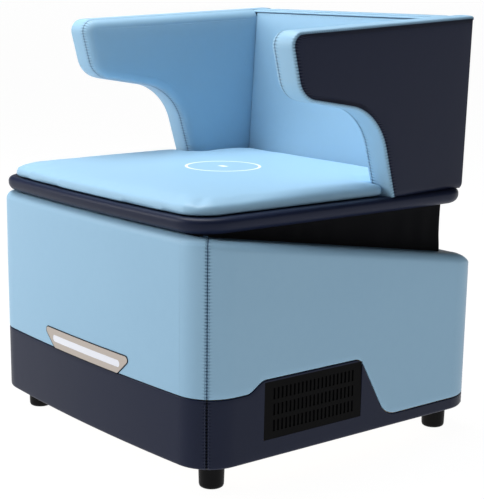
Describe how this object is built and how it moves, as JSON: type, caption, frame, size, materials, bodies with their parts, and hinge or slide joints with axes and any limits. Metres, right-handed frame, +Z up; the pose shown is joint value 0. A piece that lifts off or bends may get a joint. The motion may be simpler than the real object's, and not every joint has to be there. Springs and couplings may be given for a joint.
{
  "type": "massage chair",
  "caption": "Square upholstered massage chair: covered base with light bar and vents, tilting seat on a front hinge, and a wrap-around back with two wings.",
  "frame": {"origin": "on the floor, under the middle of the chair's box", "axes": "+Z up, the sitter faces -Y, +X is the sitter's left"},
  "size_m": [0.68, 0.67, 0.78],
  "materials": {
    "leather_light_blue": "soft satin upholstery leather",
    "leather_navy": "soft satin upholstery leather",
    "foam": "open-cell foam",
    "skirt_fabric": "matt black stretch fabric",
    "plywood": "birch plywood",
    "zinc_steel": "zinc plated",
    "bright_steel": "ground steel",
    "motor_paint": "black powder coat",
    "motor_core": "varnished laminations",
    "black_plastic": "moulded, fine texture",
    "grille_black": "matt black powder coat",
    "foot_black": "moulded, semi-gloss",
    "bezel_champagne": "brushed and anodised",
    "diffuser_white": "opal acrylic",
    "circuit_board": "green solder mask",
    "supply_case": "mill finish"
  },
  "bodies": {
    "base": {"base_upper_cover": "leather_light_blue", "base_lower_band": "leather_navy", "base_floor": "plywood", "base_front_panel": "plywood", "base_rear_panel": "plywood", "base_side_panel_left": "plywood", "base_side_panel_right": "plywood", "base_corner_posts": "plywood", "base_top_rails": "plywood", "hinge_rail": "plywood", "foot_bolts": "zinc_steel", "hinge_base_leaves": "zinc_steel", "hinge_pins": "zinc_steel", "actuator_base_bracket": "zinc_steel", "actuator_base_pin": "zinc_steel", "fan_screws": "zinc_steel", "inlet_screws": "zinc_steel", "fan_frame": "black_plastic", "inlet_module": "black_plastic", "control_standoffs": "black_plastic", "vent_grilles": "grille_black", "feet": "foot_black", "light_bar_bezel": "bezel_champagne", "light_bar_diffuser": "diffuser_white", "light_bar_board": "circuit_board", "control_board": "circuit_board", "power_supply": "supply_case"},
    "seat": {"seat_board": "plywood", "deck_cover": "leather_navy", "cushion_foam": "foam", "cushion_cover": "leather_light_blue", "hinge_seat_leaves": "zinc_steel", "actuator_seat_bracket": "zinc_steel", "actuator_seat_pin": "zinc_steel", "massage_case": "motor_paint", "massage_stator": "motor_core", "massage_bearings": "bright_steel", "massage_end_shields": "motor_paint", "wing_boards": "plywood", "wing_foam_left": "foam", "wing_foam_right": "foam", "wing_inner_cover_left": "leather_light_blue", "wing_inner_cover_right": "leather_light_blue", "wing_outer_cover_left": "leather_navy", "wing_outer_cover_right": "leather_navy", "back_board": "plywood", "back_foam": "foam", "back_inner_cover": "leather_light_blue", "back_outer_cover": "leather_navy", "shell_rim": "leather_light_blue", "shell_bolts": "zinc_steel", "wing_bolts": "zinc_steel", "skirt": "skirt_fabric"},
    "fan": {"fan_rotor": "black_plastic"},
    "rocker": {"power_rocker": "black_plastic"},
    "actuator_motor": {"actuator_gearmotor": "motor_paint", "actuator_tube": "motor_paint"},
    "actuator_rod_body": {"actuator_rod": "bright_steel"},
    "massage_rotor": {"massage_armature": "bright_steel", "eccentric_weights": "bright_steel"}
  },
  "joints": [
    {"name": "seat_tilt", "type": "hinge", "parent": "base", "child": "seat", "pos_m": [0, -0.29, 0.431], "axis": [-1, 0, 0], "range_deg": [0, 8], "deforming": ["skirt"]},
    {"name": "actuator_swing", "type": "hinge", "parent": "base", "child": "actuator_motor", "pos_m": [0, -0.03, 0.1], "axis": [-1, 0, 0], "range_deg": [0, 4.2]},
    {"name": "actuator_extend", "type": "slide", "parent": "actuator_motor", "child": "actuator_rod_body", "axis": [0, 0.4415, 0.8973], "range_m": [-0.056, 0]},
    {"name": "massage_spin", "type": "hinge", "parent": "seat", "child": "massage_rotor", "pos_m": [0, -0.023, 0.392], "axis": [1, 0, 0], "continuous": true},
    {"name": "fan_spin", "type": "hinge", "parent": "base", "child": "fan", "pos_m": [0.306, -0.082, 0.1315], "axis": [1, 0, 0], "continuous": true},
    {"name": "rocker_throw", "type": "hinge", "parent": "base", "child": "rocker", "pos_m": [-0.2, 0.33, 0.131], "axis": [-1, 0, 0], "range_deg": [0, 14]}
  ],
  "couplings": [
    {"joint": "actuator_swing", "follows": "seat_tilt", "ratio": 0.47853},
    {"joint": "actuator_extend", "follows": "seat_tilt", "m_per_rad": -0.38385}
  ]
}
